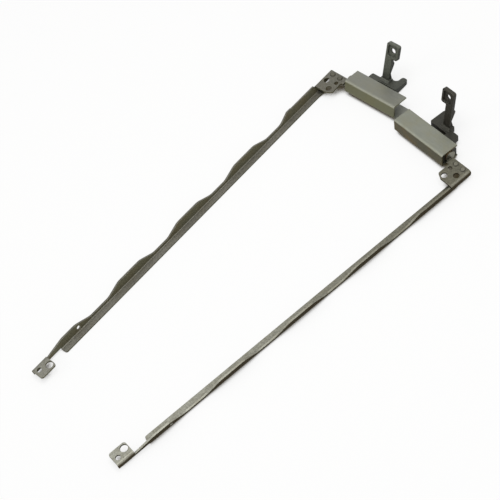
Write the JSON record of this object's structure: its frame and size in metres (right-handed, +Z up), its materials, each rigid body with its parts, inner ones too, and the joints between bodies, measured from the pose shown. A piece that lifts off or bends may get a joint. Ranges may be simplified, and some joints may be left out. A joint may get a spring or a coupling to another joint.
{
  "type": "laptop hinge pair",
  "caption": "Left and right laptop display hinges: long folded rails with scalloped flanges, friction shafts, cast base brackets and channel covers.",
  "frame": {"origin": "centre of the pair's bounding box in plan, at the table under the rails", "axes": "+Z up from the table; -Y along the right rail towards its foot; +X towards the right hinge, along its shaft"},
  "size_m": [0.1034, 0.2486, 0.0273],
  "materials": {
    "rail_plate": "dull nickel plate on sheet steel",
    "shaft_steel": "turned and forged steel",
    "rivet_steel": "set steel rivets",
    "washer_steel": "stamped steel",
    "spring_steel": "oiled spring steel",
    "friction_bronze": "plain bronze",
    "bracket_casting": "dark phosphated casting",
    "cover_metal": "satin grey sheet"
  },
  "bodies": {
    "rails": {"left_rail": "rail_plate", "left_shaft": "shaft_steel", "left_outer_rivet": "rivet_steel", "left_inner_rivet": "rivet_steel", "left_keyed_washer": "washer_steel", "left_disc_spring": "spring_steel", "left_lock_nut": "washer_steel", "right_rail": "rail_plate", "right_shaft": "shaft_steel", "right_outer_rivet": "rivet_steel", "right_inner_rivet": "rivet_steel", "right_keyed_washer": "washer_steel", "right_disc_spring": "spring_steel", "right_lock_nut": "washer_steel"},
    "left_base": {"left_base_bracket": "bracket_casting", "left_cover": "cover_metal", "left_outer_friction_washer": "friction_bronze", "left_inner_friction_washer": "friction_bronze"},
    "right_base": {"right_base_bracket": "bracket_casting", "right_cover": "cover_metal", "right_outer_friction_washer": "friction_bronze", "right_inner_friction_washer": "friction_bronze"}
  },
  "joints": [
    {"name": "right_hinge", "type": "hinge", "parent": "rails", "child": "right_base", "pos_m": [0.03696, 0.10085, 0.00525], "axis": [1, 0, 0], "range_deg": [-32.5, 102.5]},
    {"name": "left_hinge", "type": "hinge", "parent": "rails", "child": "left_base", "pos_m": [-0.03747, 0.10054, 0.00525], "axis": [0.9907, 0.1364, 0], "range_deg": [-25.5, 109.5]}
  ]
}
